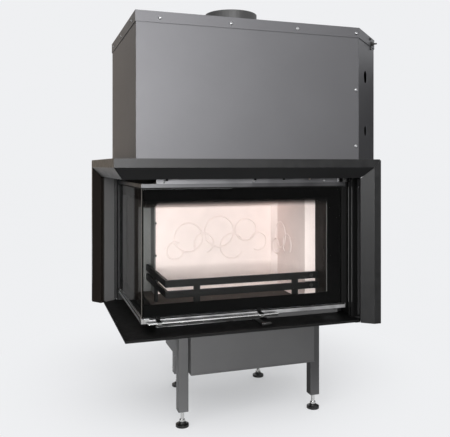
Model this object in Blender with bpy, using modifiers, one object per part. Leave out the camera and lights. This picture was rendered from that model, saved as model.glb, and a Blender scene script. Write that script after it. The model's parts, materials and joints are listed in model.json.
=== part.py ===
"""Corner fireplace with a water jacket and a lift-up glass door. Metres, +Z up."""

import math

import bmesh
import bpy
from mathutils import Matrix, Vector

# Gaps and cuts
clearance = 0.0003
overrun = 0.003
running_gap = 0.0005

# Hood, a casing with one cut corner and a lid folded down round its walls
hood_past_right = 0.2128
hood_past_rear = 0.0438
hood_chamfer = 0.169
hood_rise = 0.4723
hood_sheet = 0.002
lid_sheet = 0.002
lid_flange = 0.036
flue_radius = 0.100
flue_wall = 0.003
flue_height = 0.086
flue_inset = 0.3376
flue_rear_inset = 0.2182

# Holes in the cut corner for the water sockets
socket_hole_along = 0.072
socket_hole_radii = {"supply": 0.0233, "return": 0.0187}
socket_drop = 0.1635
socket_pitch = 0.2015
socket_radius = 0.0155
socket_wall = 0.003
socket_recess = 0.022

# Surround, a folded sheet frame with mitred corners
surround_sheet = 0.002
surround_out = 0.0776
surround_past_right = 0.0836
surround_past_rear = 0.0713
surround_rise = 0.0812
surround_lift = 0.0007
fascia_height = 0.0282
bevel_drop = 0.0368
bevel_in = 0.0293
fascia_width = 0.0261
bevel_width = 0.0374
return_flare = 0.0317
return_depth = 0.0573
mitre_gap = 0.0012

# Door, an L of two panes
door_corner = 0.0228
door_front_length = 0.7384
door_side_length = 0.5044
door_lift_off = 0.040
door_height = 0.4505
trim_height = 0.016
trim_depth = 0.012
stile_width = 0.015
glass_thickness = 0.005
glass_set_back = 0.0035
groove_depth = 0.008
carriage_sheet = 0.0028
carriage_overlap = 0.011
rail_bar_start = 0.0128
rail_bar_end = 0.0208
clamp_start = 0.052
clamp_end_gap = 0.0164
clamp_rise = 0.0145
clamp_height = 0.037
clamp_sheet = 0.003
clamp_notch_shares = (0.0525, 0.516, 0.675, 0.825)
clamp_notch_width = 0.010
clamp_notch_depth = 0.005
hinge_pin_radius = 0.004
hinge_pin_inset = 0.005

# Door handle
rod_radius = 0.005
rod_start = 0.041
rod_end = 0.485
rod_front = 0.005
rod_rise = 0.0046
handle_places = {"left": 0.076, "right": 0.427}
handle_width = 0.014
handle_sheet = 0.003
handle_rise = 0.024
handle_ring = 0.006

# Lift: guide columns, pulleys, cables and counterweights
column_sheet = 0.002
column_front = 0.022
column_lip_start = 0.0248
column_rear = 0.120
flange_reach = 0.0206
flange_depth = 0.012
flange_sheet = 0.0014
column_drop = 0.037
weight_width = 0.024
weight_front = 0.060
weight_rear = 0.116
weight_length = 0.470
weight_hang = 0.040
weight_bevel = 0.0015
cable_radius = 0.0015
pulley_drop = 0.072
pulley_width = 0.010
pulley_rim = 0.003
running_fit = 0.00008
pulley_edge = 0.001
groove_floor = 0.004
axle_radius = 0.004
axle_collar = 0.0065
axle_head = 0.002
bracket_sheet = 0.003
bracket_width = 0.030
bracket_rise = 0.022

# Legs and feet
leg_width = 0.035
leg_wall = 0.0025
leg_web = 0.006
leg_foot = 0.0525
leg_bevel = 0.0015
leg_left = 0.1774
leg_right_inset = 0.0913
leg_front = 0.0978
leg_rear_inset = 0.0625
rear_leg_inset = 0.0721
gusset_height = 0.1997
gusset_width = 0.130
gusset_sheet = 0.004
screw_radius = 0.006
screw_length = 0.120
screw_foot = 0.0063
nut_radius = 0.0105
nut_height = 0.006
pad_radius = 0.0225
pad_edge = 0.004
pad_shoulder = 0.0135
pad_neck = 0.010
pad_slope = 0.011
pad_height = 0.017

# Bottom plate and air box
plate_foot = 0.338
plate_sheet = 0.003
plate_edge = 0.0366
plate_lip = 0.008
plate_past_door = 0.0198
plate_past_rear = 0.008
plate_cut_x = 0.014
plate_cut_y = 0.014
air_box_front = 0.0514
air_box_rear_inset = 0.0872
air_box_height = 0.153
air_box_sheet = 0.002
air_box_lip = 0.003
spigot_radius = 0.0625
spigot_wall = 0.002
spigot_length = 0.060
spigot_flange = 0.012
air_hole_width = 0.060
air_hole_front = 0.150
air_hole_rear = 0.300
air_hole_off_middle = 0.02585
slide_sheet = 0.003
slide_width = 0.110
slide_front = 0.135
slide_rear = 0.315
lever_width = 0.020
lever_tip_width = 0.035
lever_tip_front = 0.002
lever_tip_depth = 0.014
lever_tip_rise = 0.006
lever_tip_height = 0.006
lever_out = 0.050
lever_in = 0.030
sill_left = 0.087
sill_rear = 0.1057
sill_sheet = 0.003
sill_height = 0.0307
sill_hole_past_door = 0.0008
sill_hole_radius = 0.005

# Firebox shell
shell_sheet = 0.004
shell_front = 0.056
shell_inset = 0.0522
shell_rear_inset = 0.0332
shell_riser = 0.106
shell_rise = 0.0315
shell_header = 0.014
jamb_inset = 0.0022
jamb_rear_inset = 0.0012
ledge_rise = 0.035
tray_rise = 0.019

# Water jacket and smoke box
jacket_left = 0.060
jacket_inset = 0.0162
jacket_front = 0.060
jacket_rear_inset = 0.0172
jacket_drop = 0.092
jacket_wall = 0.004
smoke_tube_radius = 0.032
smoke_tube_wall = 0.004
smoke_tubes_along_shares = (0.19, 0.395, 0.60, 0.805)
smoke_tubes_back_shares = (0.33, 0.73)
smoke_box_left = 0.150
smoke_box_inset = 0.045
smoke_box_front = 0.110
smoke_box_rear_inset = 0.010
smoke_box_sheet = 0.003

# Fireclay lining and log guard
lining_floor_rise = 0.006
lining_back_depth = 0.063
lining_back_left = 0.148
lining_back_drop = 0.137
lining_right_depth = 0.047
lining_right_front = 0.150
lining_corner = 0.021
lining_bevel = 0.0015
baffle_front = 0.260
baffle_left = 0.112
baffle_thickness = 0.030
baffle_rise_share = 0.4245
guard_corner = 0.125
guard_bar_height = 0.024
guard_bar_depth = 0.010
guard_upper_rise = 0.087
guard_lower_rise = 0.050
guard_post_width = 0.022
guard_posts_along_shares = (0.174, 0.82)
guard_posts_back_shares = (0.48,)

# Facets and turns
fine_facets = 48
round_facets = 32
small_facets = 16
nut_facets = 6
arc_steps = 16
whole_share = 1.0
quarter_turn = math.pi / 2
half_turn = math.pi
eighth_turn = math.pi / 4

# Sizes that follow from those above, in plan
door_right = door_corner + door_front_length
door_rear = door_corner + door_side_length
door_back = door_corner + trim_depth
hood_width = door_right + hood_past_right
hood_depth = door_rear + hood_past_rear
hood_outline = (
    (0, 0),
    (hood_width - hood_chamfer, 0),
    (hood_width, hood_chamfer),
    (hood_width, hood_depth),
    (0, hood_depth),
)
hood_sides = ("hood_front", "hood_chamfer", "hood_right", "hood_back", "hood_left")
wall_outside = lid_sheet + clearance
wall_inside = wall_outside + hood_sheet
flue_x = door_right - flue_inset
flue_y = door_rear - flue_rear_inset
surround_back = lid_sheet
surround_right = door_right + surround_past_right
surround_rear = door_rear + surround_past_rear
carriage_front = door_back + clearance
carriage_back = carriage_front + carriage_sheet
groove_front = door_corner + glass_set_back - clearance
groove_back = door_corner + glass_set_back + glass_thickness + clearance
glass_front = door_corner + glass_set_back
glass_back = glass_front + glass_thickness
column_reach = hood_depth - wall_inside - clearance - door_rear
column_inside = column_reach - column_sheet
tongue_front = column_front + column_sheet + clearance
second_lip_front = carriage_back + clearance
flange_end = column_reach + flange_reach
flange_front = column_front + clearance
weight_end = column_inside - running_gap
weight_start = weight_end - weight_width
cable_along = (weight_start + weight_end) / 2
cable_across = (tongue_front + carriage_back) / 2
weight_across = (weight_front + weight_rear) / 2
pulley_radius = (weight_across - cable_across) / 2
pulley_across = (weight_across + cable_across) / 2
pulley_bore = axle_radius + running_fit
leg_right = door_right - leg_right_inset
leg_rear = door_rear - leg_rear_inset
legs_middle = (leg_left + leg_right) / 2
air_box_rear = door_rear - air_box_rear_inset
air_hole_middle = legs_middle + air_hole_off_middle
plate_front_end = door_right + plate_past_door
plate_rear_end = door_rear + plate_past_rear
plate_right_end = door_right + column_reach + clearance
plate_far_end = door_rear + column_reach + clearance
sill_right = door_right + weight_start - running_gap
shell_right = door_right - shell_inset
shell_rear = door_rear - shell_rear_inset
shell_inside_right = shell_right - shell_sheet
shell_inside_rear = shell_rear - shell_sheet
jamb_reach = door_right - jamb_inset
jamb_rear_reach = door_rear - jamb_rear_inset
lining_back_front = shell_rear - lining_back_depth
lining_right_face = shell_right - lining_right_depth
jacket_right = door_right - jacket_inset
jacket_rear = door_rear - jacket_rear_inset
smoke_box_right = jacket_right - smoke_box_inset
smoke_box_rear = jacket_rear - smoke_box_rear_inset
centre_x = (hood_width - surround_out) / 2
centre_y = (surround_rear - surround_out) / 2

# Heights that follow, from the bottom plate upwards
leg_top = plate_foot - clearance
gusset_foot = leg_top - gusset_height
air_box_foot = plate_foot - air_box_height
plate_top = plate_foot + plate_sheet
base_foot = plate_top + clearance
column_foot = plate_foot + plate_sheet + clearance
lever_tip_foot = plate_top + lever_tip_rise
sill_top = plate_top + sill_height
ledge_height = plate_top + ledge_rise
tray_floor = plate_top + tray_rise
lining_floor_top = ledge_height + lining_floor_rise
lining_foot = lining_floor_top + clearance
guard_upper_foot = lining_floor_top + guard_upper_rise
guard_lower_foot = lining_floor_top + guard_lower_rise
door_foot = plate_foot + door_lift_off
door_top = door_foot + door_height
pane_foot = door_foot + trim_height - groove_depth + clearance
pane_top = door_top - trim_height + groove_depth - clearance
rod_height = door_foot + rod_rise
handle_top = door_foot + handle_rise
clamp_top = door_top + clamp_rise
clamp_foot = clamp_top - clamp_height
shell_top = door_top + shell_rise
surround_foot = plate_foot + surround_lift
surround_top = door_top + surround_rise
surround_under = surround_top - fascia_height - bevel_drop
hood_foot = surround_under + surround_sheet + clearance
hood_top = surround_top + hood_rise
lid_under = hood_top - lid_sheet
socket_supply_height = hood_top - socket_drop
socket_heights = {"supply": socket_supply_height, "return": socket_supply_height - socket_pitch}
lining_back_top = shell_top - lining_back_drop
jacket_foot = shell_top + clearance
jacket_top = hood_top - jacket_drop
smoke_box_top = lid_under - clearance
column_top = hood_top - column_drop
pulley_height = hood_top - pulley_drop
second_lip_top = pulley_height - pulley_radius - pulley_rim - clearance
weight_top = pulley_height - weight_hang
weight_foot = weight_top - weight_length


def clear_scene():
    for thing in list(bpy.data.objects):
        bpy.data.objects.remove(thing, do_unlink=True)


def new_collection(name):
    group = bpy.data.collections.new(name)
    bpy.context.scene.collection.children.link(group)
    return group


clear_scene()
parts = new_collection("corner_fireplace")
cutters = new_collection("cutters")
cutters.hide_render = True
root = bpy.data.objects.new("fireplace_centre", None)
parts.objects.link(root)
root.location = (-centre_x, -centre_y, 0)


def paint(name, colour, roughness, metallic, alpha=whole_share):
    material = bpy.data.materials.new(name)
    material.use_nodes = True
    shader = material.node_tree.nodes["Principled BSDF"]
    shader.inputs["Base Color"].default_value = (*colour, 1)
    shader.inputs["Roughness"].default_value = roughness
    shader.inputs["Metallic"].default_value = metallic
    shader.inputs["Alpha"].default_value = alpha
    material.diffuse_color = (*colour, alpha)
    return material


def black_paint(name):
    return paint(name, (0.035, 0.034, 0.034), 0.45, 0.0)


def hood_paint(name):
    return paint(name, (0.12, 0.12, 0.125), 0.42, 0.0)


def bare_steel(name):
    return paint(name, (0.55, 0.55, 0.56), 0.35, 1.0)


def fireclay(name):
    return paint(name, (0.86, 0.80, 0.75), 0.85, 0.0)


def place(name, mesh, material, location=(0, 0, 0), group=None):
    thing = bpy.data.objects.new(name, mesh)
    (group or parts).objects.link(thing)
    thing.parent = root
    thing.location = location
    if material:
        mesh.materials.append(material)
    return thing


def smooth(thing):
    for face in thing.data.polygons:
        face.use_smooth = True
    return thing


def tool(name, mesh, location=(0, 0, 0)):
    thing = place(name, mesh, None, location, cutters)
    thing.display_type = "WIRE"
    return thing


def box_mesh(name, low, high):
    shape = bmesh.new()
    bmesh.ops.create_cube(shape, size=whole_share)
    for corner in shape.verts:
        corner.co = [high[way] if corner.co[way] > 0 else low[way] for way in range(3)]
    return finished(name, shape)


def finished(name, shape):
    mesh = bpy.data.meshes.new(name)
    shape.to_mesh(mesh)
    shape.free()
    return mesh


def block(name, low, high, material):
    return place(name, box_mesh(name, low, high), material)


def block_tool(name, low, high):
    return tool(name, box_mesh(name, low, high))


turns = {
    "x": Matrix.Rotation(quarter_turn, 4, "Y"),
    "y": Matrix.Rotation(quarter_turn, 4, "X"),
    "z": Matrix.Identity(4),
    "socket": Matrix.Rotation(-eighth_turn, 4, "Z") @ Matrix.Rotation(quarter_turn, 4, "Y"),
}


def cylinder_mesh(name, radius, length, way, facets):
    shape = bmesh.new()
    bmesh.ops.create_cone(
        shape,
        cap_ends=True,
        segments=facets,
        radius1=radius,
        radius2=radius,
        depth=length,
        matrix=turns[way],
    )
    for face in shape.faces:
        face.smooth = len(face.verts) == 4
    return finished(name, shape)


def cylinder(name, centre, radius, length, way, material, facets=round_facets):
    mesh = cylinder_mesh(name, radius, length, way, facets)
    return place(name, mesh, material, centre)


def cylinder_tool(name, centre, radius, length, way, facets=round_facets):
    return tool(name, cylinder_mesh(name, radius, length, way, facets), centre)


def prism_mesh(name, outlines, low, high, way="z"):
    """A flat outline, with any holes, made solid from low to high along its way."""
    curve = bpy.data.curves.new(name, "CURVE")
    curve.dimensions = "2D"
    curve.fill_mode = "BOTH"
    curve.extrude = (high - low) / 2
    for outline in outlines:
        spline = curve.splines.new("POLY")
        spline.points.add(len(outline) - 1)
        for point, (across, up) in zip(spline.points, outline):
            point.co = (across, up, 0, 1)
        spline.use_cyclic_u = True
    drawn = bpy.data.objects.new(name, curve)
    mesh = bpy.data.meshes.new_from_object(drawn)
    bpy.data.objects.remove(drawn, do_unlink=True)
    shape = bmesh.new()
    shape.from_mesh(mesh)
    bmesh.ops.remove_doubles(shape, verts=shape.verts, dist=clearance / 10)
    for corner in shape.verts:
        across, up, level = corner.co
        level = high if level > 0 else low
        corner.co = (level, across, up) if way == "x" else (across, up, level)
    shape.to_mesh(mesh)
    shape.free()
    return mesh


def prism(name, outlines, low, high, material, way="z"):
    return place(name, prism_mesh(name, outlines, low, high, way), material)


def prism_tool(name, outlines, low, high, way="z"):
    return tool(name, prism_mesh(name, outlines, low, high, way))


def join(target, other):
    change = target.modifiers.new("join " + other.name, "BOOLEAN")
    change.operation = "UNION"
    change.solver = "EXACT"
    change.object = other
    return target


def cut(target, other):
    change = target.modifiers.new("cut " + other.name, "BOOLEAN")
    change.operation = "DIFFERENCE"
    change.solver = "EXACT"
    change.object = other
    return target


def bevel(target, width):
    change = target.modifiers.new("bevel", "BEVEL")
    change.width = width
    change.segments = 2
    change.limit_method = "ANGLE"
    return target


def folded_sheet(name, rows, thickness, material, inward):
    """A grid of points made into sheet metal. Rows are fold lines, and inward is the side it thickens to."""
    shape = bmesh.new()
    grid = [[shape.verts.new(point) for point in row] for row in rows]
    for row, following in zip(grid, grid[1:]):
        for index in range(len(row) - 1):
            corners = (row[index], following[index], following[index + 1], row[index + 1])
            shape.faces.new(corners)
    sheet = place(name, finished(name, shape), material)
    change = sheet.modifiers.new("thickness", "SOLIDIFY")
    change.thickness = thickness
    change.offset = inward
    change.use_even_offset = True
    return sheet


def turned(name, profile, closed, facets, material, centre, way="z"):
    """A profile of (radius, height) points, turned round its axis."""
    shape = bmesh.new()
    points = [shape.verts.new((radius, 0, height)) for radius, height in profile]
    for start, end in zip(points, points[1:]):
        shape.edges.new((start, end))
    if closed:
        shape.edges.new((points[-1], points[0]))
    thing = place(name, finished(name, shape), material, centre)
    change = thing.modifiers.new("turn", "SCREW")
    change.steps = facets
    change.render_steps = facets
    change.use_merge_vertices = True
    change.merge_threshold = clearance / 10
    change.use_smooth_shade = True
    if way == "x":
        thing.rotation_euler = (0, quarter_turn, 0)
    if way == "y":
        thing.rotation_euler = (quarter_turn, 0, 0)
    return thing


def inset(outline, distance):
    """The outline moved inwards by this distance on every side."""
    moved = []
    count = len(outline)
    for index in range(count):
        before = Vector(outline[index - 1])
        here = Vector(outline[index])
        after = Vector(outline[(index + 1) % count])
        first = (here - before).normalized()
        second = (after - here).normalized()
        inward = Vector((-first.y, first.x))
        bend = math.atan2(first.cross(second), first.dot(second))
        moved.append(tuple(here + distance * (inward - first * math.tan(bend / 2))))
    return moved


def side_place(side, along, across):
    """A point of the door's end: along runs outwards from the door's edge, across runs into the firebox."""
    if side == "right":
        return (door_right + along, across)
    return (across, door_rear + along)


def side_corners(side, along, across, heights):
    first = side_place(side, along[0], across[0])
    second = side_place(side, along[1], across[1])
    return (*first, heights[0]), (*second, heights[1])


def side_block(name, side, along, across, heights, material):
    low, high = side_corners(side, along, across, heights)
    return block(name, low, high, material)


def side_block_tool(name, side, along, across, heights):
    low, high = side_corners(side, along, across, heights)
    return block_tool(name, low, high)


side_way = {"right": "x", "left": "y"}


def make_legs():
    corners = {
        "front_left": (leg_left, leg_front),
        "front_right": (leg_right, leg_front),
        "rear_left": (leg_left + rear_leg_inset, leg_rear),
        "rear_right": (leg_right - rear_leg_inset, leg_rear),
    }
    for corner, (x, y) in corners.items():
        make_leg(corner, x, y)
        make_foot(corner, x, y)


def make_leg(corner, x, y):
    name = "leg_" + corner
    half = leg_width / 2
    hollow = half - leg_wall
    leg = block(name, (x - half, y - half, leg_foot), (x + half, y + half, leg_top), black_paint(name))
    bevel(leg, leg_bevel)
    inside_low = (x - hollow, y - hollow, leg_foot + leg_web)
    inside_high = (x + hollow, y + hollow, leg_top + overrun)
    cut(leg, block_tool(name + "_inside", inside_low, inside_high))
    bore_length = leg_web + 2 * overrun
    bore_centre = (x, y, leg_foot + leg_web / 2)
    bore_radius = screw_radius + running_fit
    cut(leg, cylinder_tool(name + "_bore", bore_centre, bore_radius, bore_length, "z", small_facets))
    if corner.startswith("rear"):
        outward = -1 if corner == "rear_left" else 1
        join(leg, gusset_tool(name + "_gusset", x, y, outward))


def gusset_tool(name, x, y, outward):
    """A triangular plate from low on the leg's outer side to the plate above."""
    near = leg_width / 2 - leg_wall / 2
    far = leg_width / 2 + gusset_width
    outline = [(outward * near, gusset_foot), (outward * far, leg_top), (outward * near, leg_top)]
    if outward < 0:
        outline.reverse()
    mesh = prism_mesh(name, [outline], -gusset_sheet / 2, gusset_sheet / 2)
    mesh.transform(turns["y"])
    return tool(name, mesh, (x, y, 0))


def make_foot(corner, x, y):
    name = "foot_screw_" + corner
    centre = (x, y, screw_foot + screw_length / 2)
    screw = cylinder(name, centre, screw_radius, screw_length, "z", bare_steel(name), small_facets)
    nut_centre = (x, y, pad_height + clearance + nut_height / 2)
    nut = cylinder_tool(name + "_nut", nut_centre, nut_radius, nut_height, "z", nut_facets)
    join(screw, nut)
    make_pad(corner, x, y)


def make_pad(corner, x, y):
    name = "foot_pad_" + corner
    bore = screw_radius + clearance
    floor = screw_foot - clearance
    profile = (
        (0, floor),
        (bore, floor),
        (bore, pad_height),
        (pad_neck, pad_height),
        (pad_shoulder, pad_slope),
        (pad_radius, 2 * pad_edge),
        (pad_radius, 0),
        (0, 0),
    )
    material = paint(name, (0.02, 0.02, 0.02), 0.6, 0.0)
    turned(name, profile, False, round_facets, material, (x, y, 0))


def make_bottom_plate():
    name = "bottom_plate"
    front_outline = (
        (-plate_edge, -plate_edge),
        (plate_front_end, -plate_edge),
        (plate_right_end, plate_cut_y),
        (plate_right_end, plate_far_end),
        (plate_cut_x, plate_far_end),
        (-plate_edge, plate_rear_end),
    )
    plate = prism(name, [front_outline], plate_foot, plate_top, black_paint(name))
    lip_outline = (
        (-plate_edge, -plate_edge),
        (plate_front_end, -plate_edge),
        (plate_front_end, plate_sheet - plate_edge),
        (plate_sheet - plate_edge, plate_sheet - plate_edge),
        (plate_sheet - plate_edge, plate_rear_end),
        (-plate_edge, plate_rear_end),
    )
    join(plate, prism_tool(name + "_lip", [lip_outline], plate_foot, plate_foot + plate_lip))
    hole_low = (air_hole_middle - air_hole_width / 2, air_hole_front, plate_foot - overrun)
    hole_high = (air_hole_middle + air_hole_width / 2, air_hole_rear, plate_top + overrun)
    cut(plate, block_tool(name + "_air_hole", hole_low, hole_high))


def make_air_box():
    name = "air_box"
    left = leg_left + leg_width / 2 + clearance
    right = leg_right - leg_width / 2 - clearance
    low = (left, air_box_front, air_box_foot)
    high = (right, air_box_rear, leg_top)
    box = block(name, low, high, black_paint(name))
    lip_low = (left, air_box_front - air_box_lip, air_box_foot)
    lip_high = (right, air_box_front + air_box_sheet, air_box_foot + air_box_sheet)
    join(box, block_tool(name + "_lip", lip_low, lip_high))
    inside_low = (left + air_box_sheet, air_box_front + air_box_sheet, air_box_foot + air_box_sheet)
    inside_high = (right - air_box_sheet, air_box_rear - air_box_sheet, leg_top + overrun)
    cut(box, block_tool(name + "_inside", inside_low, inside_high))
    middle_x = (left + right) / 2
    height = (air_box_foot + leg_top) / 2
    bore = spigot_radius - spigot_wall
    cut(box, cylinder_tool(name + "_inlet", (middle_x, air_box_rear, height), bore, 2 * spigot_flange, "y"))
    make_spigot(middle_x, height)


def make_spigot(x, z):
    name = "air_spigot"
    start = air_box_rear + clearance
    bore = spigot_radius - spigot_wall
    flange = spigot_radius + spigot_flange
    profile = (
        (bore, 0),
        (flange, 0),
        (flange, -spigot_wall),
        (spigot_radius, -spigot_wall),
        (spigot_radius, -spigot_length),
        (bore, -spigot_length),
    )
    material = paint(name, (0.45, 0.45, 0.46), 0.4, 0.9)
    turned(name, profile, True, fine_facets, material, (x, start, z), "y")


def make_air_slide():
    """A shutter under the firebox floor, pulled from side to side by a cranked lever."""
    name = "air_slide"
    x = air_hole_middle
    top = base_foot + slide_sheet
    foot = base_foot + clearance
    shutter_low = (x - slide_width / 2, slide_front, base_foot)
    shutter_high = (x + slide_width / 2, slide_rear, top + clearance)
    slide = block(name, shutter_low, shutter_high, bare_steel(name))
    tip_rear = lever_tip_front + lever_tip_depth
    tip_top = lever_tip_foot + lever_tip_height
    crank_front = tip_rear - clearance - slide_sheet
    crank = (
        (slide_front + overrun, foot),
        (slide_front + overrun, top),
        (crank_front + slide_sheet, top),
        (crank_front + slide_sheet, tip_top - clearance),
        (crank_front, tip_top - clearance),
        (crank_front, foot),
    )
    low = x - lever_width / 2
    join(slide, prism_tool(name + "_crank", [crank], low, low + lever_width, "x"))
    tip_low = (x - lever_tip_width / 2, lever_tip_front, lever_tip_foot)
    tip_high = (x + lever_tip_width / 2, tip_rear, tip_top)
    join(slide, block_tool(name + "_tip", tip_low, tip_high))


def slot_tool(name, front, rear):
    """The opening that the air lever moves in."""
    left = air_hole_middle - lever_width / 2 - lever_out - running_gap
    right = air_hole_middle + lever_width / 2 + lever_in + running_gap
    top = base_foot + slide_sheet + running_gap
    return block_tool(name, (left, front, base_foot - overrun), (right, rear, top))


def make_sill():
    name = "sill_strip"
    front = sill_rear - sill_sheet
    strip = block(name, (sill_left, front, base_foot), (sill_right, sill_rear, sill_top), black_paint(name))
    cut(strip, slot_tool(name + "_slot", front - overrun, sill_rear + overrun))
    hole_at = (door_right + sill_hole_past_door, front, (base_foot + sill_top) / 2)
    cut(strip, cylinder_tool(name + "_hole", hole_at, sill_hole_radius, 4 * sill_sheet, "y", small_facets))


def make_shell():
    name = "firebox_shell"
    sheet = shell_sheet
    shell = block(
        name,
        (shell_front, shell_inside_rear, base_foot),
        (shell_right, shell_rear, shell_top),
        black_paint(name),
    )
    cut(shell, block_tool(
        name + "_rear_corner",
        (shell_front - overrun, shell_inside_rear - overrun, base_foot - overrun),
        (shell_riser - sheet, shell_rear + overrun, ledge_height - sheet),
    ))
    pieces = {
        "right": (
            (shell_inside_right, shell_riser, base_foot),
            (shell_right, shell_rear, shell_top),
        ),
        "right_front": (
            (shell_inside_right, shell_front, ledge_height - sheet),
            (shell_right, shell_rear, shell_top),
        ),
        "floor": (
            (shell_riser, shell_riser, tray_floor - sheet),
            (shell_right, shell_rear, tray_floor),
        ),
        "front_riser": (
            (shell_riser - sheet, shell_riser, base_foot),
            (shell_right, shell_riser + sheet, ledge_height),
        ),
        "left_riser": (
            (shell_riser - sheet, shell_riser, base_foot),
            (shell_riser, shell_rear, ledge_height),
        ),
        "front_ledge": (
            (shell_front, shell_front, ledge_height - sheet),
            (shell_right, shell_riser + sheet, ledge_height),
        ),
        "left_ledge": (
            (shell_front, shell_front, ledge_height - sheet),
            (shell_riser, shell_rear, ledge_height),
        ),
        "right_jamb": (
            (shell_inside_right, shell_front, ledge_height - sheet),
            (jamb_reach, shell_front + sheet, shell_top),
        ),
        "left_jamb": (
            (shell_front, shell_inside_rear, ledge_height - sheet),
            (shell_front + sheet, jamb_rear_reach, shell_top),
        ),
        "front_header": (
            (shell_front, shell_front, shell_top - shell_header),
            (shell_right, shell_front + sheet, shell_top),
        ),
        "left_header": (
            (shell_front, shell_front, shell_top - shell_header),
            (shell_front + sheet, shell_rear, shell_top),
        ),
    }
    for piece, (low, high) in pieces.items():
        join(shell, block_tool(name + "_" + piece, low, high))
    cut(shell, slot_tool(name + "_slot", shell_riser - overrun, shell_riser + sheet + overrun))


def tube_places():
    width = jacket_right - jacket_left
    depth = jacket_rear - jacket_front
    along = [jacket_left + share * width for share in smoke_tubes_along_shares]
    back = [jacket_front + share * depth for share in smoke_tubes_back_shares]
    return [(x, y) for x in along for y in back]


def make_jacket():
    name = "water_jacket"
    low = (jacket_left, jacket_front, jacket_foot)
    high = (jacket_right, jacket_rear, jacket_top)
    jacket = block(name, low, high, black_paint(name))
    wall = Vector((jacket_wall, jacket_wall, jacket_wall))
    water = block_tool(name + "_water", tuple(Vector(low) + wall), tuple(Vector(high) - wall))
    height = (jacket_foot + jacket_top) / 2
    length = jacket_top - jacket_foot
    for number, (x, y) in enumerate(tube_places()):
        centre = (x, y, height)
        tube = "%s_tube_%d" % (name, number)
        cut(water, cylinder_tool(tube, centre, smoke_tube_radius, length, "z"))
    cut(jacket, water)
    bore = smoke_tube_radius - smoke_tube_wall
    for number, (x, y) in enumerate(tube_places()):
        centre = (x, y, height)
        way_through = "%s_smoke_way_%d" % (name, number)
        cut(jacket, cylinder_tool(way_through, centre, bore, length + 2 * overrun, "z"))
    for line in socket_heights:
        make_socket(line, jacket)


def make_socket(line, jacket):
    """A pipe from the jacket's right wall to just behind the hole in the hood's cut corner."""
    name = "water_" + line
    height = socket_heights[line]
    hole_x = hood_width - hood_chamfer + socket_hole_along
    hole_y = socket_hole_along
    step = math.cos(eighth_turn)
    end = Vector((hole_x - socket_recess * step, hole_y + socket_recess * step, height))
    run = (end.x - jacket_right + jacket_wall) / step + socket_radius
    centre = tuple(end - Vector((step, -step, 0)) * run / 2)
    pipe = cylinder(name, centre, socket_radius, run, "socket", bare_steel(name))
    bore = socket_radius - socket_wall
    cut(pipe, cylinder_tool(name + "_bore", centre, bore, run + 2 * overrun, "socket"))
    trim_low = (jacket_right - 4 * socket_radius, hole_y, height - 2 * socket_radius)
    trim_high = (jacket_right + clearance, jacket_rear, height + 2 * socket_radius)
    cut(pipe, block_tool(name + "_wall_side", trim_low, trim_high))
    cut(jacket, cylinder_tool(name + "_wall_bore", centre, bore, run, "socket"))


def make_smoke_box():
    name = "flue_collar"
    low = (smoke_box_left, smoke_box_front, jacket_top + clearance)
    high = (smoke_box_right, smoke_box_rear, smoke_box_top)
    box = block(name, low, high, black_paint(name))
    top = hood_top + flue_height
    foot = smoke_box_top - smoke_box_sheet / 2
    collar_centre = (flue_x, flue_y, (foot + top) / 2)
    join(box, cylinder_tool(name + "_tube", collar_centre, flue_radius, top - foot, "z", fine_facets))
    sheet = Vector((smoke_box_sheet, smoke_box_sheet, 0))
    inside_low = tuple(Vector(low) + sheet - Vector((0, 0, overrun)))
    inside_high = tuple(Vector(high) - sheet - Vector((0, 0, smoke_box_sheet)))
    cut(box, block_tool(name + "_inside", inside_low, inside_high))
    bore_foot = smoke_box_top - smoke_box_sheet - overrun
    bore_centre = (flue_x, flue_y, (bore_foot + top + overrun) / 2)
    bore = flue_radius - flue_wall
    length = top + overrun - bore_foot
    cut(box, cylinder_tool(name + "_bore", bore_centre, bore, length, "z", fine_facets))


def make_hood():
    outside = inset(hood_outline, wall_outside)
    inside = inset(hood_outline, wall_inside)
    count = len(hood_sides)
    for index, name in enumerate(hood_sides):
        following = (index + 1) % count
        start = Vector(outside[index])
        end = Vector(outside[following])
        step = (end - start).normalized() * clearance
        outline = (
            tuple(start + step),
            tuple(end - step),
            tuple(Vector(inside[following]) - step),
            tuple(Vector(inside[index]) + step),
        )
        wall = prism(name, [outline], hood_foot, lid_under - clearance, hood_paint(name))
        if name == "hood_chamfer":
            cut_socket_holes(wall)
    make_lid()


def cut_socket_holes(wall):
    for line, radius in socket_hole_radii.items():
        x = hood_width - hood_chamfer + socket_hole_along
        centre = (x, socket_hole_along, socket_heights[line])
        length = 8 * (wall_inside + overrun)
        cut(wall, cylinder_tool("hood_hole_" + line, centre, radius, length, "socket"))


def make_lid():
    name = "hood_lid"
    lid = prism(name, [hood_outline], hood_top - lid_flange, hood_top, hood_paint(name))
    inside = inset(hood_outline, lid_sheet)
    foot = hood_top - lid_flange - overrun
    cut(lid, prism_tool(name + "_inside", [inside], foot, lid_under))
    centre = (flue_x, flue_y, hood_top)
    radius = flue_radius + clearance
    cut(lid, cylinder_tool(name + "_flue_hole", centre, radius, 4 * lid_sheet, "z", fine_facets))


def make_lining():
    tray_foot = tray_floor + clearance
    left = shell_riser + clearance
    front = shell_riser + shell_sheet + clearance
    right = shell_inside_right - clearance
    rear = shell_inside_rear - clearance
    floor_block = block(
        "fireclay_floor", (left, front, tray_foot), (right, rear, lining_floor_top), fireclay("fireclay_floor")
    )
    bevel(floor_block, lining_bevel)
    back = block(
        "fireclay_back",
        (lining_back_left, lining_back_front, lining_foot),
        (right, rear, lining_back_top),
        fireclay("fireclay_back"),
    )
    bevel(back, lining_bevel)
    make_right_lining(right)
    make_baffle(right, rear)


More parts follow.
